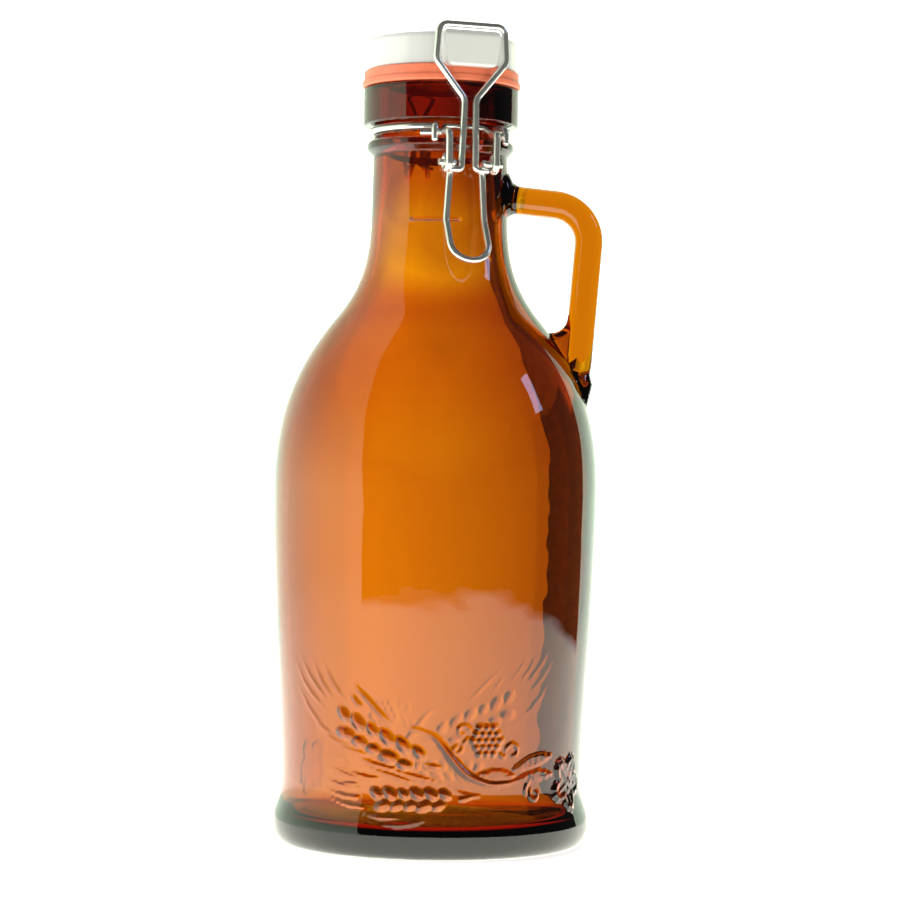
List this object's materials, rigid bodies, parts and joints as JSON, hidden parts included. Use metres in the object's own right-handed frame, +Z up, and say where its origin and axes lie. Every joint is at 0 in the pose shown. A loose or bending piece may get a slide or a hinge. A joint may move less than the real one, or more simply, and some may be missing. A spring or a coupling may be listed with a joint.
{
  "type": "growler",
  "caption": "Amber glass two-litre swing-clamp bottle with a finger handle and a ceramic lid held on a rubber gasket by a bent-wire clamp.",
  "frame": {"origin": "centre of the standing ring, on the surface the bottle stands on", "axes": "+Z up the bottle's axis, +X towards the handle; the clamp's front faces 20.5 degrees from -Y towards +X"},
  "size_m": [0.1271, 0.126, 0.3163],
  "materials": {
    "amber_glass": "smooth moulded soda-lime glass, amber",
    "lid_ceramic": "off-white gloss glaze",
    "gasket_rubber": "satin coral red rubber",
    "clamp_wire": "bright drawn stainless wire"
  },
  "bodies": {
    "bottle": {"bottle": "amber_glass", "handle": "amber_glass", "neck_band": "clamp_wire", "front_yoke": "clamp_wire"},
    "lever": {"lever": "clamp_wire"},
    "draw_loop": {"draw_loop": "clamp_wire"},
    "hinge_loop": {"hinge_loop": "clamp_wire"},
    "lid": {"lid": "lid_ceramic", "gasket": "gasket_rubber"}
  },
  "joints": [
    {"name": "lever_swing", "type": "hinge", "parent": "bottle", "child": "lever", "pos_m": [0.01166, -0.03119, 0.2622], "axis": [-0.9367, -0.3502, 0], "range_deg": [0, 75]},
    {"name": "draw_loop_swing", "type": "hinge", "parent": "lever", "child": "draw_loop", "pos_m": [0.01088, -0.02911, 0.26006], "axis": [-0.9367, -0.3502, 0], "range_deg": [-165, 0]},
    {"name": "hinge_loop_swing", "type": "hinge", "parent": "bottle", "child": "hinge_loop", "pos_m": [-0.01156, 0.03091, 0.2684], "axis": [-0.9367, -0.3502, 0], "range_deg": [0, 75]},
    {"name": "lid_tilt", "type": "hinge", "parent": "hinge_loop", "child": "lid", "pos_m": [-0.01163, 0.0311, 0.3078], "axis": [-0.9367, -0.3502, 0], "range_deg": [0, 15]}
  ],
  "couplings": [
    {"joint": "draw_loop_swing", "follows": "lever_swing", "ratio": -2.2},
    {"joint": "hinge_loop_swing", "follows": "lever_swing", "ratio": 1},
    {"joint": "lid_tilt", "follows": "lever_swing", "ratio": 0.2}
  ]
}
